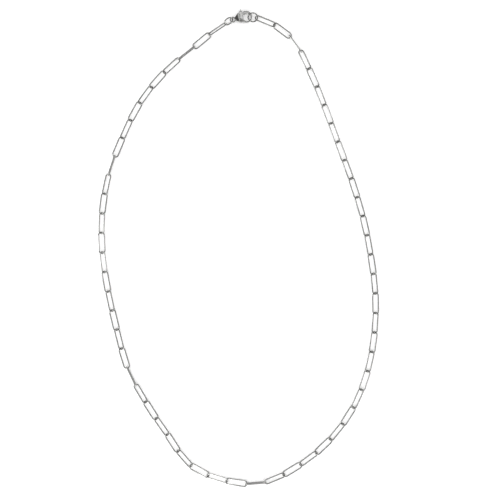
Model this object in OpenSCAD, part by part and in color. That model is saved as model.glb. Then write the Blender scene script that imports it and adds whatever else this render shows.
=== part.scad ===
// Paperclip chain necklace: long oval wire links joined into one loop and closed
// by a small lobster clasp, as it lies by itself on a table.
// X runs across the loop, Y runs up to the clasp at its top, Z is up from the
// table. The origin lies on the table under the middle of the whole necklace.

/* [Links] */
// Thickness of the link wire
link_wire_d = 0.65; // [0.5:0.05:0.75]
// Length of a link over its outside
link_length = 11.65; // [10:0.05:14]
// Width of a link over its outside
link_width = 3.65; // [3.4:0.05:4.5]
// How far each link is pushed in from where the chain would be tight
link_slack = 0.29; // [0.2:0.01:0.4]
// Number of links in the whole chain
link_count = 58; // [56:1:80]
// Clear space left between two link wires that pass each other
wire_gap = 0.27; // [0.2:0.01:0.3]

/* [Jump rings] */
// Outer diameter of a jump ring
ring_od = 5.5; // [5.2:0.1:6.5]
// Thickness of the jump ring wire
ring_wire_d = 0.7; // [0.6:0.05:0.8]
// Lean of the ring that the clasp's eye hangs on
tail_ring_lean = 66; // [60:1:80]
// Lean of the ring that the clasp's hook holds
end_ring_lean = 37; // [36:1:45]

/* [Clasp] */
// From the middle of the eye to the middle of the hook's opening
clasp_reach = 7.4; // [7:0.1:9]
// Thickness of the clasp's body at the cheeks
body_t = 2.4; // [2.1:0.1:3]
// Diameter of the eye's hole
eye_bore = 1.9; // [1.8:0.1:2.4]
// Width of the metal round the eye
eye_wall = 0.6; // [0.5:0.05:0.8]
// Thickness of the eye
eye_t = 1.1; // [0.9:0.1:1.2]
// Diameter of the hook's opening
hook_bore = 3.86; // [3.6:0.02:4.6]
// Width of the hook at its outer end
hook_wall = 0.74; // [0.6:0.02:0.9]
// Width of the hook over the opening, where it is widest
hook_top_wall = 1.5; // [1.2:0.05:1.8]
// Thickness of the hook
hook_t = 1.2; // [1:0.1:1.3]

/* [Lever] */
// Thickness of the lever where it runs in the body's slot
lever_t = 0.9; // [0.7:0.05:0.95]
// Thickness of the thumb tab
tab_t = 1.6; // [1.4:0.1:2]
// Clear space on each side of the lever in its slot
slot_gap = 0.1; // [0.06:0.02:0.16]
// Diameter of the rivet that the lever turns on
pin_d = 0.7; // [0.6:0.05:0.8]
// Clear space round the rivet in the lever
lever_clearance = 0.03; // [0.02:0.01:0.05]
// Clear space round the rivet in the cheeks
rivet_clearance = 0.01; // [0.01:0.01:0.02]
// Diameter of the rivet's heads
rivet_head_d = 1; // [0.9:0.05:1.2]
// Angle through which the lever opens
lever_opening = 26; // [20:1:28]

/* [Hidden] */
$fn = 48;
// Sides of the rounded corners that are hulled into one plate, and of their rims
corner_sides = 32;
rim_sides = 24;
// Cuts run past the faces that they cut by this much
past = 1;

// Route of the chain on the table, starting at the clasp's tail ring and going
// down the left side, round the bottom and up the right side to the end ring.
// The clasp closes the last stretch. The curve through the points is then
// stretched or shrunk a little, so that it is as long as the links make it.
ROUTE = [
    [-6.5, 115], [-22.5, 103], [-38, 90], [-50.5, 74.5], [-59.5, 56.5],
    [-66.5, 37.5], [-70, 18], [-70, -2.5], [-67, -22], [-62.5, -42],
    [-57, -61.5], [-47.5, -79.5], [-36.5, -96], [-24.5, -112], [-6, -120],
    [14, -120.5], [32, -111.5], [47, -99], [59, -82.5], [66.5, -63.5],
    [70, -44], [70.5, -24], [68, -3.5], [64, 16], [58, 35.5],
    [51, 54.5], [44, 73.5], [36.5, 91.5], [27, 108], [10, 118]
];
// Straight steps that each stretch between two route points is measured in
route_steps = 12;
// Links that stand on edge: [number counted from the tail ring, lean]. Under 90
// a link's top leans in towards the middle of the loop.
STANDING = [[2, 90], [9, 88], [20, 88], [29, 88], [55, 81]];
// Lean of the first link, which the tail ring lifts
first_link_lean = 55;
// The last standing link is pushed together most, by this much
crowded_link = STANDING[len(STANDING) - 1][0];
crowding = 0.9;

// Sizes of a link that follow from the ones above
link_r = (link_width - link_wire_d) / 2;
link_half = (link_length - link_width) / 2;
link_overlap = link_wire_d + link_slack;
pitch = link_length - link_wire_d - link_overlap;
// Where the round ends of two linked links cross, from the links' axis
cross_out = sqrt(link_r * link_overlap - pow(link_overlap / 2, 2));
// Share of the step between two crossing wires that is clear across them
cross_share = 0.92;
// Lean of a lying link, so that its wires clear its neighbour's
link_lean = asin((link_wire_d + wire_gap) / (2 * cross_out * cross_share));
// How far below a standing link's axis its neighbour's end can hang. A share of
// the wire gap is left there, because the ends meet more squarely.
hang_share = 0.75;
hang_room = link_r - link_wire_d - wire_gap * hang_share;
hang = sqrt(max(0, pow(hang_room, 2) - pow(link_r - link_overlap, 2)));

// The rings
ring_r = (ring_od - ring_wire_d) / 2;
ring_overlap = (link_wire_d + ring_wire_d) / 2 + link_slack;
tail_ring_z = ring_wire_d / 2 + ring_r * sin(tail_ring_lean);
end_ring_z = ring_wire_d / 2 + ring_r * sin(end_ring_lean);
// Turn of each ring seen from above, against the clasp's own length
tail_ring_turn = 22;
end_ring_turn = -8;
// Where the tail ring's end lies in the eye, from the eye's middle
tail_ring_seat = [-0.05, 0.4];
// How far inside the hook's outer end the end ring's wire lies
end_ring_slip = 1.38;
end_ring_drop = 0.43;

// The clasp's own frame: eye at the origin, hook along +X, thumb tab towards +Y.
// The hook is a round disc with its opening set out of the middle, low and outwards.
hook_mid = [clasp_reach, 0];
hook_r = hook_bore / 2;
eye_r = eye_bore / 2 + eye_wall;
hook_spread = 0.02;
hook_rise = 0.385;
hook_round_r = hook_r + (hook_wall + hook_top_wall) / 2 + hook_spread;
hook_round_mid = hook_mid + [hook_r + hook_wall - hook_round_r, hook_rise];
// Height of the middle of the clasp, carried on the rings' wires
clasp_z = end_ring_z;

// Middle of each ring, and the points where the chain is taken to start and end
tail_dir = [cos(tail_ring_turn), sin(tail_ring_turn)];
end_dir = [cos(end_ring_turn), sin(end_ring_turn)];
tail_ring_mid = tail_ring_seat - ring_r * tail_dir;
end_ring_mid = hook_mid + [hook_r - end_ring_slip + ring_r, -end_ring_drop];
tail_joint = tail_ring_mid - (ring_r - ring_overlap / 2) * tail_dir;
end_joint = end_ring_mid + (ring_r - ring_overlap / 2) * end_dir;
clasp_span = norm(end_joint - tail_joint);

// The curve through the route's points, and the distance run along it
function route_at(i, t) =
    let (
        n = len(ROUTE),
        a = ROUTE[(i + n - 1) % n],
        b = ROUTE[i],
        c = ROUTE[(i + 1) % n],
        d = ROUTE[(i + 2) % n]
    )
    (2 * b + (c - a) * t + (2 * a - 5 * b + 4 * c - d) * pow(t, 2)
        + (3 * b - a - 3 * c + d) * pow(t, 3)) / 2;
route_curve = [
    for (i = [0 : len(ROUTE) - 1]) for (j = [0 : route_steps - 1]) route_at(i, j / route_steps),
    ROUTE[0]
];
last_step = len(route_curve) - 1;
function step_length(i) = norm(route_curve[min(i, last_step)] - route_curve[i - 1]);
route_run = [for (i = 0, run = 0; i <= last_step; i = i + 1, run = run + step_length(i)) run];
chain_run = link_count * pitch - crowding;
route_scale = (chain_run + clasp_span) / route_run[last_step];
route_x = [for (i = [0 : last_step]) [route_run[i], route_curve[i].x]];
route_y = [for (i = [0 : last_step]) [route_run[i], route_curve[i].y]];

// Plan point where link k meets the one before it, before the loop is centred
function loose_joint(k) =
    let (run = (k * pitch - (k > crowded_link ? crowding : 0)) / route_scale)
    route_scale * [lookup(run, route_x), lookup(run, route_y)];

// Lying links lean inwards and outwards in turn
function stands(k) = len([for (s = STANDING) if (s[0] == k) s]) > 0;
function turned(k) = (k - len([for (s = STANDING) if (s[0] < k) s])) % 2 == 1;
function lean(k) =
    stands(k) ? lookup(k, STANDING)
    : k == 0 ? first_link_lean
    : turned(k) ? -link_lean
    : link_lean;
// Height of a link's axis when the link rests on the table
function rest_z(k) = link_wire_d / 2 + link_r * abs(sin(lean(k)));
// Height of link k's axis where it meets link m
function end_z(k, m) =
    m < 0 ? rest_z(k)
    : m == link_count ? end_ring_z - hang / 2
    : max(rest_z(k), rest_z(m) - hang);
function heading(k) =
    let (along = loose_joint(k + 1) - loose_joint(k))
    atan2(along.y, along.x);

// Reach of a link from its middle along X (side 0) or Y (side 1)
function link_reach(k, side) =
    let (
        turn = heading(k),
        along = side == 0 ? cos(turn) : sin(turn),
        across = (side == 0 ? sin(turn) : cos(turn)) * cos(lean(k))
    )
    link_half * abs(along) + link_r * norm([along, across]) + link_wire_d / 2;
function link_mid(k) = (loose_joint(k) + loose_joint(k + 1)) / 2;

// The lever, in the clasp's own frame: it turns on the rivet, its right edge is
// the gate that closes the hook, and its far end is the thumb tab. The rivet
// stands behind the hook's opening and below its middle.
pivot_back = 1.4;
pivot_drop = 1.25;
pivot = hook_mid - [hook_r + pivot_back, pivot_drop];
lever_wall = 0.3;
lever_boss_r = pin_d / 2 + lever_wall;
hook_top = hook_round_mid.y + hook_round_r;
gate_corner_r = 0.25;
gate_inset = 0.05;
gate_x = hook_mid.x - hook_r - gate_inset;
gate_low = 0.1;
gate_foot = [gate_x - gate_corner_r, hook_mid.y - gate_low];
gate_head_drop = 0.7;
gate_head = [gate_x - gate_corner_r, hook_top - gate_head_drop];
shoulder_back = 0.72;
shoulder_drop = 0.8;
shoulder = [pivot.x - shoulder_back, hook_top - shoulder_drop];
tab_tip_r = 0.3;
tab_forward = 0.85;
tab_rise = 0.76;
tab_tip = [pivot.x + tab_forward, hook_top + tab_rise];
tab_size = [0.12, 0.55];
tab_root = tab_tip - tab_size;
lever_edge = 0.15;
tab_edge = 0.2;

// The clasp's body: thickness at its two ends, and its rounded edges
body_edge = 0.35;
rim_share = 0.4;
bevel_share = 0.3;
hook_edge = rim_share * hook_wall;
eye_edge = rim_share * eye_wall;
eye_side_extra = 0.3;
eye_side_t = eye_t + eye_side_extra;
boss_wall = 0.3;
boss_r = lever_boss_r + slot_gap + boss_wall;
rivet_head_h = 0.14;
// Corners of the cheeks: the radii of their rounds, how far the rounds lie from
// the eye's edge, the hook's top and the rivet, and their centres
neck_r = 0.55;
cheek_r = 0.4;
belly_r = 0.5;
neck_high_off = [0.1, 0.7];
neck_low_off = [0.8, -0.95];
cheek_back_off = [-1.12, -1.15];
cheek_front_off = [-0.25, -1.4];
belly_off = [-0.75, 0.6];
neck_high = [eye_r, 0] + neck_high_off;
neck_low = [eye_r, 0] + neck_low_off;
cheek_back = [pivot.x, hook_top] + cheek_back_off;
cheek_front = [pivot.x, hook_top] + cheek_front_off;
belly = pivot + belly_off;
// The slot and the way of the lever, from closed to a little past open. The hook
// is cut out a little wider than the slot, and its tip stays clear of the gate.
slot_t = lever_t + 2 * slot_gap;
slot_boss_r = lever_boss_r + slot_gap;
past_open = 6;
back_angle = 90 + lever_opening + past_open;
mouth_grow = 0.05;
gate_gap = 0.07;
tip_share = [-0.8, 0.62];
root_share = 0.32;
function polar(r, angle) = r * [cos(angle), sin(angle)];
gate_angle = atan2((gate_foot - pivot).y, (gate_foot - pivot).x);

// Place of the clasp on the table
clasp_from = loose_joint(0);
clasp_to = loose_joint(link_count);
clasp_turn = atan2((clasp_to - clasp_from).y, (clasp_to - clasp_from).x)
    - atan2((end_joint - tail_joint).y, (end_joint - tail_joint).x);
function turned_by(p, angle) = [p.x * cos(angle) - p.y * sin(angle), p.x * sin(angle) + p.y * cos(angle)];
clasp_origin = (clasp_from + clasp_to - turned_by(tail_joint + end_joint, clasp_turn)) / 2;

// Middle of the whole necklace, seen from above
all_links = [0 : link_count - 1];
low_x = min([for (k = all_links) link_mid(k).x - link_reach(k, 0)]);
high_x = max([for (k = all_links) link_mid(k).x + link_reach(k, 0)]);
low_y = min([for (k = all_links) link_mid(k).y - link_reach(k, 1)]);
high_y = clasp_origin.y + turned_by(tab_tip, clasp_turn).y + tab_tip_r;
middle = [(low_x + high_x) / 2, (low_y + high_y) / 2];

// A piece of wire bent to half a circle, from +X round by +Y to -X
module wire_bend(bend_r, wire_d) {
    rotate_extrude(angle = 180) translate([bend_r, 0]) circle(d = wire_d);
}

// One closed link, flat, long way along X
module link() {
    for (side = [0, 180]) rotate(side) {
        translate([link_half, 0, 0]) rotate(-90) wire_bend(link_r, link_wire_d);
        translate([-link_half, link_r, 0]) rotate([0, 90, 0]) cylinder(d = link_wire_d, h = 2 * link_half);
    }
}

// Link k where it lies in the chain
module placed_link(k) {
    from = loose_joint(k) - middle;
    to = loose_joint(k + 1) - middle;
    from_z = end_z(k, k - 1);
    to_z = end_z(k, k + 1);
    translate([(from.x + to.x) / 2, (from.y + to.y) / 2, (from_z + to_z) / 2])
        rotate([lean(k), -atan2(to_z - from_z, norm(to - from)), heading(k)])
            link();
}

// What is drawn in the clasp's own frame, put in its place on the table
module at_clasp(z = clasp_z) {
    translate([clasp_origin.x - middle.x, clasp_origin.y - middle.y, z]) rotate(clasp_turn) children();
}

// One jump ring, leaning towards the clasp's tab side
module jump_ring(mid, z, turn, tilt) {
    at_clasp(z) translate(mid) rotate([tilt, 0, turn])
        rotate_extrude() translate([ring_r, 0]) circle(d = ring_wire_d);
}

// A round disc of thickness t with its rims rounded by edge
module soft_disc(r, t, edge, sides = $fn) {
    rotate_extrude($fn = sides) {
        translate([0, -t / 2]) square([r - edge, t]);
        translate([r - edge, -t / 2 + edge]) square([edge, t - 2 * edge]);
        for (up = [-1, 1]) translate([r - edge, up * (t / 2 - edge)]) intersection() {
            circle(r = edge, $fn = rim_sides);
            translate([0, -edge]) square([edge, 2 * edge]);
        }
    }
}

// Cuts a round hole through thickness t, with its rims bevelled in two steps
module soft_bore(r, t, edge) {
    step = bevel_share * edge;
    low = t / 2 - step;
    high = t / 2 + step;
    wide = r + 2 * edge - step;
    rotate_extrude() polygon([
        [0, -t / 2 - past], [wide, -t / 2 - past], [wide, -high], [r + step, -low], [r, edge - t / 2],
        [r, t / 2 - edge], [r + step, low], [wide, high], [wide, t / 2 + past], [0, t / 2 + past]
    ]);
}

// A plate with a rounded rim, spanned between corners [x, y, radius, thickness]
module soft_plate(corners, edge) {
    hull() for (c = corners) translate([c.x, c.y, 0]) soft_disc(c[2], c[3], edge, corner_sides);
}

// Room that the lever needs, seen from above, made wider by grow
module lever_room(grow = 0) {
    r = slot_boss_r + grow;
    foot = pivot + polar(r, gate_angle - 90);
    back = pivot + polar(r, back_angle + 90);
    far = back + polar(3 * hook_r, back_angle);
    tip_x = gate_x + gate_gap + grow;
    tip_in = hook_mid + hook_r * tip_share + [grow, 0];
    root_y = hook_mid.y - root_share * hook_r - grow;
    root_x = foot.x + (root_y - foot.y) / tan(gate_angle);
    translate(pivot) circle(r = r);
    polygon([
        pivot, back, far, [tip_x, far.y + hook_r], [tip_x, hook_top], tip_in,
        [tip_in.x, root_y], [root_x, root_y], foot
    ]);
}

// The eye, flat ring at the tail of the clasp
module eye() {
    difference() {
        soft_disc(eye_r, eye_t, eye_edge);
        soft_bore(eye_bore / 2, eye_t, eye_edge);
    }
}

// The hook from its root round to its tip, open where the lever closes it
module hook() {
    difference() {
        translate(hook_round_mid) soft_disc(hook_round_r, hook_t, hook_edge);
        translate(hook_mid) soft_bore(hook_r, hook_t, hook_edge);
        linear_extrude(hook_t + past, center = true) lever_room(mouth_grow);
    }
}

// The cheeks, one block before the slot parts them
module cheeks() {
    soft_plate([
        [neck_high.x, neck_high.y, neck_r, eye_side_t],
        [neck_low.x, neck_low.y, neck_r, eye_side_t],
        [cheek_back.x, cheek_back.y, cheek_r, body_t],
        [cheek_front.x, cheek_front.y, cheek_r, body_t],
        [belly.x, belly.y, belly_r, body_t]
    ], body_edge);
    soft_plate([
        [pivot.x, pivot.y, boss_r, body_t],
        [neck_low.x, neck_low.y, neck_r, eye_side_t],
        [belly.x, belly.y, belly_r, body_t]
    ], body_edge);
}

module chain_left() {
    color("silver") for (k = [0 : floor(link_count / 2) - 1]) placed_link(k);
}

module chain_right() {
    color("silver") for (k = [floor(link_count / 2) : link_count - 1]) placed_link(k);
}

module tail_ring() {
    color("silver") jump_ring(tail_ring_mid, tail_ring_z, tail_ring_turn, tail_ring_lean);
}

module end_ring() {
    color("silver") jump_ring(end_ring_mid, end_ring_z, end_ring_turn, end_ring_lean);
}

module clasp_body() {
    color("silver") at_clasp() difference() {
        union() {
            eye();
            hook();
            cheeks();
        }
        linear_extrude(slot_t, center = true) lever_room();
        translate(pivot) cylinder(d = pin_d + 2 * rivet_clearance, h = body_t + past, center = true);
    }
}

module clasp_lever() {
    color("silver") at_clasp() difference() {
        union() {
            soft_plate([
                [pivot.x, pivot.y, lever_boss_r, lever_t],
                [gate_foot.x, gate_foot.y, gate_corner_r, lever_t],
                [gate_head.x, gate_head.y, gate_corner_r, lever_t],
                [tab_tip.x, tab_tip.y, tab_tip_r, lever_t],
                [shoulder.x, shoulder.y, gate_corner_r, lever_t]
            ], lever_edge);
            soft_plate([
                [tab_tip.x, tab_tip.y, tab_tip_r, tab_t],
                [tab_root.x, tab_root.y, tab_tip_r, tab_t]
            ], tab_edge);
        }
        translate(pivot) cylinder(d = pin_d + 2 * lever_clearance, h = lever_t + past, center = true);
    }
}

module lever_pin() {
    color("gray") at_clasp() translate(pivot) {
        cylinder(d = pin_d, h = body_t, center = true);
        for (up = [0, 1]) mirror([0, 0, up]) translate([0, 0, body_t / 2])
            cylinder(d1 = rivet_head_d, d2 = pin_d, h = rivet_head_h);
    }
}

chain_left();
chain_right();
tail_ring();
end_ring();
clasp_body();
clasp_lever();
lever_pin();
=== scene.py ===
# %% [markdown]
# # A paperclip chain necklace, closed by a lobster clasp
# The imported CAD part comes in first. Its nodes are two halves of a chain, two
# jump rings, and a clasp with its lever and rivet. They lie where the real
# pieces lie, so every finished piece takes its place from them.

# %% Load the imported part
import math

import bpy
import numpy as np
from mathutils import Matrix, Vector


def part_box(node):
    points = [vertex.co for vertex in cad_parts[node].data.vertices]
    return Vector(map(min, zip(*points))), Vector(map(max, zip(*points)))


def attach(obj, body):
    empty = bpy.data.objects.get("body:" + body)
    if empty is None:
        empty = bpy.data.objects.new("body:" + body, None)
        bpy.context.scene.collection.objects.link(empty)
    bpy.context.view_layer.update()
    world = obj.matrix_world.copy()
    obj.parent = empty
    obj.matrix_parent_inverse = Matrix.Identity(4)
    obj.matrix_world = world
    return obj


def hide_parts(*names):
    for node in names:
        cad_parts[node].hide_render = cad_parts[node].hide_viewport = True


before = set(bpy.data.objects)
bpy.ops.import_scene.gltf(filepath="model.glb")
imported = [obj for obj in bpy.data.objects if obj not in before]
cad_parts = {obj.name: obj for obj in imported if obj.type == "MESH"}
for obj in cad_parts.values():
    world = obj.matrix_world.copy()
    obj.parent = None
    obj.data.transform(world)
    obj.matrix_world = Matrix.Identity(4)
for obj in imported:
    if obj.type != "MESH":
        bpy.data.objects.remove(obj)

MM = 0.001
scene = bpy.context.scene


def in_mm(lengths):
    return [round(length / MM, 2) for length in lengths]


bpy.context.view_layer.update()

# %% [markdown]
# ## Camera
# The photograph looks straight down on the loop. A camera at a modest height
# shows the near wires a little larger, as a real lens does. A long lens from
# higher up would look flatter, and an orthographic camera would lose the slight
# view into the sides of the links at the edge of the picture.

# %% Place the camera over the loop
CAMERA_SPOT = Vector((5.9, -0.9, 490)) * MM
WIRE_HEIGHT = 0.7 * MM
VIEW_WIDTH = 256.65 * MM
SENSOR = 36
NEAREST_SEEN = 10 * MM
FARTHEST_SEEN = 100


def stand(name, data, spot=(0, 0, 0)):
    obj = bpy.data.objects.new(name, data)
    obj.location = spot
    bpy.context.collection.objects.link(obj)
    return obj


camera_data = bpy.data.cameras.new("camera")
camera_data.sensor_width = SENSOR
camera_data.lens = SENSOR * (CAMERA_SPOT.z - WIRE_HEIGHT) / VIEW_WIDTH
camera_data.clip_start = NEAREST_SEEN
camera_data.clip_end = FARTHEST_SEEN
scene.camera = stand("camera", camera_data, CAMERA_SPOT)
print("camera lens in mm:", round(camera_data.lens, 2))

# %% [markdown]
# ## Working by hand in code
# An operator acts on whatever is selected, so each step starts with nothing
# selected. The first helpers pick one object, name it, fix its place into its
# mesh and close its seams. The others print what a piece has become, and let it
# stand in for its CAD node, with a note of the steel that it will wear.

# %% Helpers for selecting and editing
WELD = 0.001 * MM


def deselect():
    if bpy.context.object and bpy.context.object.mode != "OBJECT":
        bpy.ops.object.mode_set(mode="OBJECT")
    bpy.ops.object.select_all(action="DESELECT")


def pick(obj):
    deselect()
    obj.select_set(True)
    bpy.context.view_layer.objects.active = obj


def named(name):
    obj = bpy.context.object
    obj.name = obj.data.name = name
    return obj


def settle(obj):
    pick(obj)
    bpy.ops.object.transform_apply(location=True, rotation=True, scale=True)
    return obj


def tidy_mesh():
    bpy.ops.mesh.select_all(action="SELECT")
    bpy.ops.mesh.remove_doubles(threshold=WELD)
    bpy.ops.mesh.normals_make_consistent(inside=False)
    bpy.ops.object.mode_set(mode="OBJECT")


# %% Helpers for a piece that is done
worn = {}


def tell(piece):
    print(f"{piece.name}: {len(piece.data.polygons)} faces, {in_mm(piece.dimensions)} mm")


def stand_in(piece, node, finish, body="root"):
    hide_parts(node)
    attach(piece, body)
    worn[piece.name] = finish


# %% [markdown]
# ## One link of the chain
# A paperclip link is a long oval of round wire, soldered shut so finely that no
# seam shows. It could be a torus pulled apart in the middle, or a curve with a
# round bevel. Here a small circle, the cut wire, is spun round one end, drawn
# out along the side, spun round the other end and drawn back, which keeps the
# wire evenly thick and its faces in neat rings. The links of the solid model
# keep a little air between them. These are a little shorter than those, so that
# they hook together as closely as a real chain's, just short of touching.

# %% Spin and draw one link
LINK_LENGTH = 11.5 * MM
LINK_WIDTH = 3.65 * MM
LINK_WIRE = 0.65 * MM
WIRE_SIDES = 16
BEND_STEPS = 18
ALONG_X = (0, math.pi / 2, 0)

link_half = (LINK_LENGTH - LINK_WIDTH) / 2
link_bend = (LINK_WIDTH - LINK_WIRE) / 2


def wire_section(name, spot, wire, turn):
    deselect()
    bpy.ops.mesh.primitive_circle_add(
        vertices=WIRE_SIDES, radius=wire / 2, fill_type="NOTHING", location=spot, rotation=turn)
    section = settle(named(name))
    bpy.ops.object.mode_set(mode="EDIT")
    bpy.ops.mesh.select_all(action="SELECT")
    return section


def spin(centre, angle, steps):
    bpy.ops.mesh.spin(steps=steps, angle=angle, center=centre, axis=(0, 0, 1))


def draw_out(step):
    bpy.ops.mesh.extrude_edges_move(TRANSFORM_OT_translate={"value": step})


link = wire_section("link", (link_half, -link_bend, 0), LINK_WIRE, ALONG_X)
spin((link_half, 0, 0), -math.pi, BEND_STEPS)
draw_out((-2 * link_half, 0, 0))
spin((-link_half, 0, 0), -math.pi, BEND_STEPS)
draw_out((2 * link_half, 0, 0))
tidy_mesh()
bpy.ops.object.shade_smooth()
tell(link)

# %% [markdown]
# ## The links in their places
# Each half of the CAD chain is one node of many loose links, meshed coarsely.
# The fine link could be set along a path again, but the CAD links already hold
# the right lean and height. So each loose link is measured: its middle, and the
# three directions in which it is longest, wider and thinnest. A copy of the fine
# link is laid in that frame.

# %% Find the loose solids of a CAD node
def loose_solids(node):
    """For each loose solid of a node, the three corners of all its triangles."""
    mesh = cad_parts[node].data
    mesh.calc_loop_triangles()
    spots = np.array([v.co for v in mesh.vertices])
    corners = np.array([t.vertices[:] for t in mesh.loop_triangles])
    # Corners that share a spot get one number, so that triangles that meet there are joined.
    grid = np.round(spots / WELD).astype(np.int64)
    _, same = np.unique(grid, axis=0, return_inverse=True)
    same = same.reshape(-1)
    corners = same[corners]
    # The lowest number in each triangle spreads until all corners of a solid share it.
    group = np.arange(corners.max() + 1)
    while True:
        lowest = group[corners].min(axis=1)
        grown = group.copy()
        for side in range(3):
            np.minimum.at(grown, corners[:, side], lowest)
        grown = grown[grown]
        if (grown == group).all():
            break
        group = grown
    merged = np.zeros((len(group), 3))
    merged[same] = spots
    owner = group[corners[:, 0]]
    return [merged[corners[owner == number]] for number in np.unique(owner)]


# %% Measure how a loose solid lies
def solid_frame(triangles):
    """Middle and main directions of a closed skin, weighed by its area."""
    middles = triangles.mean(axis=1)
    edges = triangles[:, 1:] - triangles[:, :1]
    sizes = np.linalg.norm(np.cross(edges[:, 0], edges[:, 1]), axis=1)
    middle = (middles * sizes[:, None]).sum(axis=0) / sizes.sum()
    spread = ((middles - middle) * sizes[:, None]).T @ (middles - middle)
    # The directions come sorted, from the thinnest to the longest.
    _, directions = np.linalg.eigh(spread)
    long_way, wide_way = Vector(directions[:, 2]), Vector(directions[:, 1])
    if long_way.x < 0:
        long_way.negate()
    thin_way = long_way.cross(wide_way)
    if thin_way.z < 0:
        wide_way.negate()
        thin_way.negate()
    turn = Matrix((long_way, wide_way, thin_way)).transposed().to_4x4()
    return Matrix.Translation(Vector(middle)) @ turn


# %% Lay the fine links along each half of the chain
def copies_joined(model, name, frames):
    copies = []
    for place in frames:
        shape = model.data.copy()
        shape.transform(place)
        copies.append(stand(name, shape))
    deselect()
    for copy in copies:
        copy.select_set(True)
    bpy.context.view_layer.objects.active = copies[0]
    bpy.ops.object.join()
    return named(name)


for node in ("chain_left", "chain_right"):
    frames = [solid_frame(solid) for solid in loose_solids(node)]
    half = copies_joined(link, f"{node}_links", frames)
    stand_in(half, node, "link_steel")
    print(half.name, len(frames), "links,", len(half.data.polygons), "faces")
bpy.data.objects.remove(link)

# %% [markdown]
# ## Jump rings
# A jump ring is a turn of wire cut from a coil and closed with two pliers, so a
# hairline shows where its ends meet. A plain torus has no such cut. The wire's
# section is spun almost all the way round instead, and its two flat ends are
# filled and left a hair apart. The cuts are turned away from what the rings hold.

# %% Spin one jump ring
RING_OUTER = 5.5 * MM
RING_WIRE = 0.7 * MM
RING_CUT = 0.04 * MM
RING_STEPS = 64
CREASE = math.radians(40)
ALONG_Y = (math.pi / 2, 0, 0)

ring_bend = (RING_OUTER - RING_WIRE) / 2
cut_angle = RING_CUT / ring_bend
ring = wire_section("ring", (ring_bend, 0, 0), RING_WIRE, ALONG_Y)
bpy.ops.mesh.edge_face_add()
bpy.ops.mesh.select_all(action="SELECT")
spin((0, 0, 0), math.tau - cut_angle, RING_STEPS)
tidy_mesh()
bpy.ops.object.shade_smooth_by_angle(angle=CREASE)
tell(ring)

# %% Lay the two rings
RING_CUT_SIDE = {"tail_ring": Vector((-0.3, 1, 0.5)), "end_ring": Vector((0.4, 1, 0.5))}


def ring_frame(node):
    # A ring is thinnest along its axis, which is the third direction of its frame.
    place = solid_frame(loose_solids(node)[0])
    axis = place.to_3x3().col[2].normalized()
    side = RING_CUT_SIDE[node] - axis * RING_CUT_SIDE[node].dot(axis)
    side.normalize()
    turn = Matrix((side, axis.cross(side), axis)).transposed().to_4x4()
    return Matrix.Translation(place.translation) @ turn


for node in RING_CUT_SIDE:
    piece = copies_joined(ring, f"{node}_wire", [ring_frame(node)])
    stand_in(piece, node, "ring_steel")
bpy.data.objects.remove(ring)

# %% [markdown]
# ## The cast clasp
# A lobster clasp and its lever are cast, then tumbled among steel shot, so each
# edge is worn round and each inner corner is filled a little. Bevels would do
# this on straight edges, but fail where curved faces meet. So a copy of each CAD
# solid is merged, given one skin of small even faces, and smoothed, which wears
# a corner as tumbling does and leaves the flats where they are. The list gives
# each casting's finish, the body that it moves with, and its rounds of wear.

# %% Tumble the body and the lever
SKIN_GRAIN = 0.065 * MM
WEAR_PER_ROUND = 0.5
CASTINGS = {
    "clasp_body": ("clasp_steel", "root", 16),
    # The lever's finish is a paler copy of the body's steel, a painted highlight.
    "clasp_lever": ("lever_steel", "lever", 12),
}


def tumbled(node, rounds):
    casting = stand(f"{node}_cast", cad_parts[node].data.copy())
    pick(casting)
    bpy.ops.object.mode_set(mode="EDIT")
    tidy_mesh()
    skin = casting.modifiers.new("even_skin", "REMESH")
    skin.mode = "VOXEL"
    skin.voxel_size = SKIN_GRAIN
    wear = casting.modifiers.new("wear", "SMOOTH")
    wear.factor = WEAR_PER_ROUND
    wear.iterations = rounds
    for modifier in ("even_skin", "wear"):
        bpy.ops.object.modifier_apply(modifier=modifier)
    bpy.ops.object.shade_smooth()
    return casting


for node, (finish, body, rounds) in CASTINGS.items():
    piece = tumbled(node, rounds)
    stand_in(piece, node, finish, body)
    tell(piece)

# %% [markdown]
# ## The rivet
# A pin goes through both cheeks and the lever, and each end is hammered into a
# low dome that holds it. Two flattened balls on a rod would look alike, but they
# would be three skins in one another. Here each end of a cylinder is widened,
# raised and bevelled, so the rivet stays one closed skin.

# %% Head both ends of a pin
PIN_WIDTH = 0.7 * MM
PIN_SIDES = 40
HEAD_HEIGHT = 0.14 * MM
DOME_WIDTH = 0.9 * HEAD_HEIGHT
DOME_STEPS = 5
FACING_ENOUGH = 0.9

pin_low, pin_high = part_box("lever_pin")
pin_middle = (pin_low + pin_high) / 2
head_width = pin_high.x - pin_low.x
grip = pin_high.z - pin_low.z - 2 * HEAD_HEIGHT
wider = head_width / PIN_WIDTH


def pick_end(obj, up):
    """Pick the end face that looks up (1) or down (-1), and nothing else."""
    bpy.ops.object.mode_set(mode="EDIT")
    bpy.ops.mesh.select_mode(type="FACE")
    bpy.ops.mesh.select_all(action="DESELECT")
    bpy.ops.object.mode_set(mode="OBJECT")
    for face in obj.data.polygons:
        beyond_middle = (face.center.z - pin_middle.z) * up > 0
        face.select = beyond_middle and face.normal.z * up > FACING_ENOUGH
    bpy.ops.object.mode_set(mode="EDIT")


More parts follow.
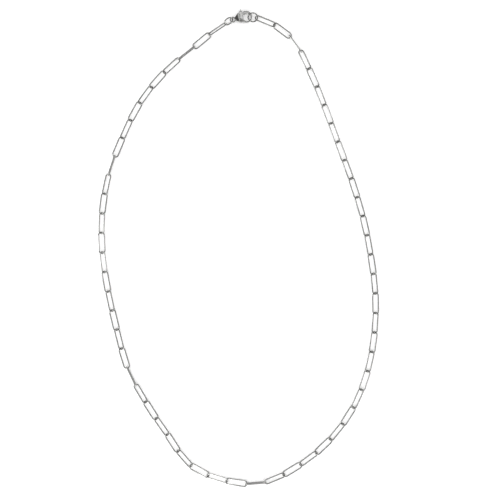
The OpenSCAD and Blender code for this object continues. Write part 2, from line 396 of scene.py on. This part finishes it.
deselect()
bpy.ops.mesh.primitive_cylinder_add(
    vertices=PIN_SIDES, radius=PIN_WIDTH / 2, depth=grip, location=pin_middle)
rivet = settle(named("lever_rivet"))
for up in (1, -1):
    pick_end(rivet, up)
    bpy.ops.mesh.extrude_region_move()
    bpy.ops.transform.resize(value=(wider, wider, 1), center_override=pin_middle)
    bpy.ops.mesh.extrude_region_move(TRANSFORM_OT_translate={"value": (0, 0, up * HEAD_HEIGHT)})
    bpy.ops.mesh.bevel(offset=DOME_WIDTH, segments=DOME_STEPS, affect="EDGES")
tidy_mesh()
bpy.ops.object.shade_smooth_by_angle(angle=CREASE)
# The rivet wears a darkened steel, painted shade for the recess round it.
stand_in(rivet, "lever_pin", "rivet_steel")
tell(rivet)

# %% [markdown]
# ## Reckoning with shader sockets
# A shader is a sum of small steps, such as noise times a share plus a base. The
# first class wraps a socket so that the steps read as sums: each sign adds the
# Math node that does it. The second holds the nodes of a steel, of the paper or
# of the room, and has the one way in which a node is added.

# %% A socket that can be reckoned with
class Value:
    def __init__(self, nodes, socket):
        self.nodes, self.socket = nodes, socket

    def reckon(self, operation, first, second):
        return self.nodes.add("ShaderNodeMath", {"operation": operation}, {0: first, 1: second})

    def __add__(self, other):
        return self.reckon("ADD", self, other)

    def __radd__(self, other):
        return self.reckon("ADD", other, self)

    def __sub__(self, other):
        return self.reckon("SUBTRACT", self, other)

    def __rsub__(self, other):
        return self.reckon("SUBTRACT", other, self)

    def __mul__(self, other):
        return self.reckon("MULTIPLY", self, other)

    def __rmul__(self, other):
        return self.reckon("MULTIPLY", other, self)


# %% The nodes of a material or of the room
class Nodes:
    def __init__(self, owner):
        owner.use_nodes = True
        self.tree = owner.node_tree
        self.tree.nodes.clear()

    def add(self, kind, settings, sockets, output=0):
        made = self.tree.nodes.new(kind)
        for key, setting in settings.items():
            if key == "stops":
                self.set_stops(made.color_ramp.elements, setting)
            else:
                setattr(made, key, setting)
        for key, value in sockets.items():
            if isinstance(value, Value):
                self.tree.links.new(value.socket, made.inputs[key])
            else:
                made.inputs[key].default_value = value
        return Value(self, made.outputs[output]) if made.outputs else None

    def set_stops(self, stops, tones):
        """A ramp has a first and a last stop to begin with, at 0 and at 1."""
        for place, tone in tones.items():
            if place == 0:
                stop = stops[0]
            elif place == 1:
                stop = stops[-1]
            else:
                stop = stops.new(place)
            stop.color = (tone, tone, tone, 1)


# %% [markdown]
# ## Polished steel
# The necklace is one silver-toned steel, tumbled until it shines. Under a loupe
# it still shows fine scratches and a faint unevenness, and the castings of the
# clasp are a little duller than the drawn wire. The lever wears the palest tone,
# a painted highlight for the brighter reflection on it, and the rivet the
# darkest, painted shade for the recess round it. Each finish takes the same steps
# with its own figures: its darkest and palest tone, its roughness, and how deep
# its scratches look.

# %% One steel
CLOUDS_PER_MM = 0.35
CLOUD_DETAIL = 2
CLOUD_ROUGHNESS = 0.5
CLOUD_SHARE = 0.06
GRAINS_PER_MM = 6
GRAIN_DETAIL = 4
GRAIN_ROUGHNESS = 0.6
GRAIN_SHARE = 0.12
SCRATCH_DEPTH = 0.01 * MM
NOISE_MIDDLE = 0.5


def noise(nodes, per_mm, detail, roughness):
    spot = nodes.add("ShaderNodeTexCoord", {}, {}, "Object")
    sockets = {"Vector": spot, "Scale": per_mm / MM, "Detail": detail, "Roughness": roughness}
    return nodes.add("ShaderNodeTexNoise", {}, sockets, "Fac")


def polished_steel(name, dark, light, roughness, scratch):
    material = bpy.data.materials.new(name)
    steel = Nodes(material)
    cloud = noise(steel, CLOUDS_PER_MM, CLOUD_DETAIL, CLOUD_ROUGHNESS)
    grain = noise(steel, GRAINS_PER_MM, GRAIN_DETAIL, GRAIN_ROUGHNESS)
    tones = {"Factor": cloud, "A": (*dark, 1), "B": (*light, 1)}
    tone = steel.add("ShaderNodeMix", {"data_type": "RGBA"}, tones, "Result")
    scratches = {"Strength": scratch, "Distance": SCRATCH_DEPTH, "Height": grain}
    bump = steel.add("ShaderNodeBump", {}, scratches)
    grain_dulls = GRAIN_SHARE * (grain - NOISE_MIDDLE)
    cloud_dulls = CLOUD_SHARE * (cloud - NOISE_MIDDLE)
    surface = steel.add("ShaderNodeBsdfPrincipled", {}, {
        "Base Color": tone, "Metallic": 1.0,
        "Roughness": roughness + grain_dulls + cloud_dulls, "Normal": bump})
    steel.add("ShaderNodeOutputMaterial", {}, {"Surface": surface})
    return material


# %% Every steel of the necklace, on the pieces that wear it
STEELS = {
    "link_steel": ((0.49, 0.49, 0.478), (0.59, 0.59, 0.58), 0.17, 0.15),
    "ring_steel": ((0.5, 0.5, 0.487), (0.6, 0.6, 0.59), 0.18, 0.15),
    "clasp_steel": ((0.5, 0.5, 0.487), (0.6, 0.6, 0.59), 0.2, 0.3),
    # The lever's steel is a paler copy of the clasp's steel: a painted highlight for the
    # brighter reflection on the lever.
    "lever_steel": ((0.66, 0.66, 0.645), (0.76, 0.76, 0.75), 0.2, 0.3),
    # The rivet's steel is darkened: painted shade for the shadowed recess round the rivet.
    "rivet_steel": ((0.18, 0.18, 0.175), (0.26, 0.26, 0.25), 0.32, 0.2),
}
steels = {name: polished_steel(name, *figures) for name, figures in STEELS.items()}
for name, finish in worn.items():
    slots = bpy.data.objects[name].data.materials
    slots.clear()
    slots.append(steels[finish])
    print(name, "wears", finish)

# %% [markdown]
# ## Floor and light
# Jewellery is photographed on white paper with large soft lights, so that the
# ground is blank and the metal has something to mirror. A wire seen from above
# mirrors a whole arc of the room: the lamp overhead along its top, and the walls
# along its sides. So the room is dim at the sides, which draws each wire as a
# dark line on the white, and bright straight above, which lights flat metal.

# %% White floor
FLOOR_SIZE = 60
PAPER_WHITE = 0.93
PAPER_GLOW = 0.15
PAPER_ROUGHNESS = 0.9
WHITE = (1, 1, 1, 1)

deselect()
bpy.ops.mesh.primitive_plane_add(size=FLOOR_SIZE, location=(0, 0, 0))
floor = named("floor")
paper_material = bpy.data.materials.new("paper")
paper = Nodes(paper_material)
paper_surface = paper.add("ShaderNodeBsdfPrincipled", {}, {
    "Base Color": (PAPER_WHITE, PAPER_WHITE, PAPER_WHITE, 1),
    "Roughness": PAPER_ROUGHNESS, "Specular IOR Level": 0.0,
    "Emission Color": WHITE, "Emission Strength": PAPER_GLOW})
paper.add("ShaderNodeOutputMaterial", {}, {"Surface": paper_surface})
floor.data.materials.append(paper_material)
print("floor:", FLOOR_SIZE, "m wide")

# %% A dim room, bright straight above, that the camera itself sees as white
SKY_TONES = {0.0: 0.05, 0.5: 0.06, 0.9: 0.12, 0.95: 0.85, 1.0: 0.9}

scene.world = bpy.data.worlds.new("studio")
sky = Nodes(scene.world)
way = sky.add("ShaderNodeTexCoord", {}, {}, "Generated")
height = sky.add("ShaderNodeSeparateXYZ", {}, {0: way}, "Z")
tone = sky.add("ShaderNodeValToRGB", {"stops": SKY_TONES}, {0: height})
room_light = sky.add("ShaderNodeBackground", {}, {0: tone})
room_seen = sky.add("ShaderNodeBackground", {}, {0: WHITE})
for_camera = sky.add("ShaderNodeLightPath", {}, {}, "Is Camera Ray")
room = sky.add("ShaderNodeMixShader", {}, {0: for_camera, 1: room_light, 2: room_seen})
sky.add("ShaderNodeOutputWorld", {}, {0: room})
print("tones of the room from floor to zenith:", SKY_TONES)

# %% Soft overhead light that only the paper shows
SUN_POWER = 3.15
SUN_SPREAD = 120
SUN_LEAN = (20, -15, 0)

sun_data = bpy.data.lights.new("overhead", "SUN")
sun_data.energy = SUN_POWER
sun_data.angle = math.radians(SUN_SPREAD)
sun = stand("overhead", sun_data)
sun.rotation_euler = [math.radians(lean) for lean in SUN_LEAN]
sun.visible_glossy = False
print("overhead light:", SUN_POWER, "W per square metre, spread over", SUN_SPREAD, "degrees")

# %% [markdown]
# ## Windows
# In the photograph some stretches of the chain are pale, because their wires
# face a window and mirror it. A brighter room would pale all the wires alike. So
# three tall windows stand round the table, and each puts its glint along the
# wires that face it. They light the metal alone, and don't show themselves.

# %% Stand three windows round the table
WINDOWS = {
    "left_window": {"spot": (-200, -6, 100), "wide": 58, "high": 190, "watts": 0.12},
    "right_window": {"spot": (250, 172, 100), "wide": 70, "high": 190, "watts": 0.05},
    "front_window": {"spot": (-43, -210, 100), "wide": 38, "high": 190, "watts": 0.12},
}
for name, plan in WINDOWS.items():
    window_data = bpy.data.lights.new(name, "AREA")
    window_data.shape = "RECTANGLE"
    window_data.size = plan["wide"] * MM
    window_data.size_y = plan["high"] * MM
    window_data.energy = plan["watts"]
    window = stand(name, window_data, Vector(plan["spot"]) * MM)
    east, north, _ = plan["spot"]
    window.rotation_euler = Vector((-east, -north, 0)).to_track_quat("-Z", "Y").to_euler()
    window.visible_diffuse = False
    window.visible_camera = False
    print(name, "at", plan["spot"], "mm")

# %% Plain view of the light
scene.view_settings.view_transform = "Standard"
scene.view_settings.look = "None"
print("view:", scene.view_settings.view_transform)
